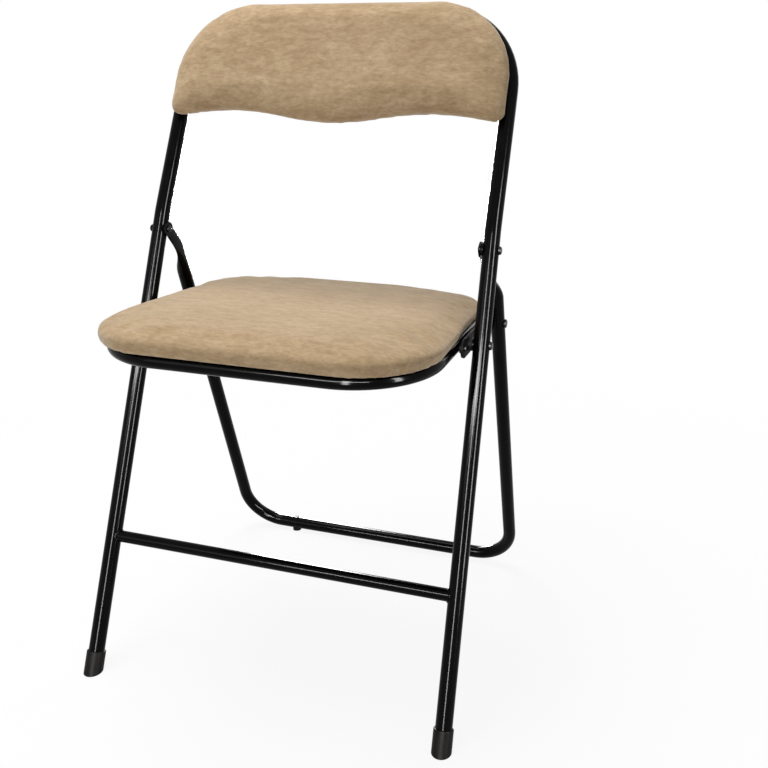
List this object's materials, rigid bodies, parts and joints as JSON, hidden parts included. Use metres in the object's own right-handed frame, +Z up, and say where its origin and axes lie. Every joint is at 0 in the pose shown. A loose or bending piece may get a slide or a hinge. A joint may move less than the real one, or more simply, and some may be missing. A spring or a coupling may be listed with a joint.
{
  "type": "folding chair",
  "caption": "Folding chair with a bent black tube frame, U-shaped rear legs and a velvet-covered padded seat and backrest; the legs and seat fold flat.",
  "frame": {"origin": "on the floor, at the middle of the chair's width and depth", "axes": "+Z up, -Y towards the front of the chair, +X towards the sitter's left"},
  "size_m": [0.4624, 0.432, 0.7915],
  "materials": {
    "gloss_black_paint": "gloss",
    "satin_black_paint": "satin",
    "dark_steel": "blackened, semi-gloss",
    "cap_plastic": "satin",
    "nylon": "satin",
    "beige_velvet": "short-pile velvet with nap variation",
    "foam": "open-cell foam",
    "hardboard": "raw board"
  },
  "bodies": {
    "front_frame": {"front_frame_tube": "gloss_black_paint", "front_crossbar": "gloss_black_paint", "front_foot_cap_left": "cap_plastic", "front_foot_cap_right": "cap_plastic", "backrest_lugs": "satin_black_paint", "backrest_board": "hardboard", "backrest_foam": "foam", "backrest_cover": "beige_velvet", "backrest_screws": "dark_steel", "leg_pivot_rivets": "dark_steel", "leg_pivot_washers": "nylon", "seat_pivot_rivets": "dark_steel"},
    "rear_legs": {"rear_leg_tube": "gloss_black_paint", "rear_glide_left": "cap_plastic", "rear_glide_right": "cap_plastic", "slide_pins": "dark_steel", "slide_pin_collars": "nylon"},
    "seat": {"seat_frame_tube": "gloss_black_paint", "seat_board": "hardboard", "seat_foam": "foam", "seat_cover": "beige_velvet", "seat_board_screws": "dark_steel", "seat_side_plate_left": "satin_black_paint", "seat_side_plate_right": "satin_black_paint", "side_plate_screws": "dark_steel", "side_plate_spacers": "satin_black_paint", "seat_pivot_bushes": "nylon"}
  },
  "joints": [
    {"name": "seat_fold", "type": "hinge", "parent": "front_frame", "child": "seat", "pos_m": [0, -0.03514, 0.412], "axis": [-1, 0, 0], "range_deg": [0, 110.6]},
    {"name": "rear_leg_fold", "type": "hinge", "parent": "front_frame", "child": "rear_legs", "pos_m": [0, 0.00305, 0.5136], "axis": [-1, 0, 0], "range_deg": [0, 40.5]}
  ],
  "couplings": [
    {"joint": "rear_leg_fold", "follows": "seat_fold", "ratio": 0.3661}
  ]
}
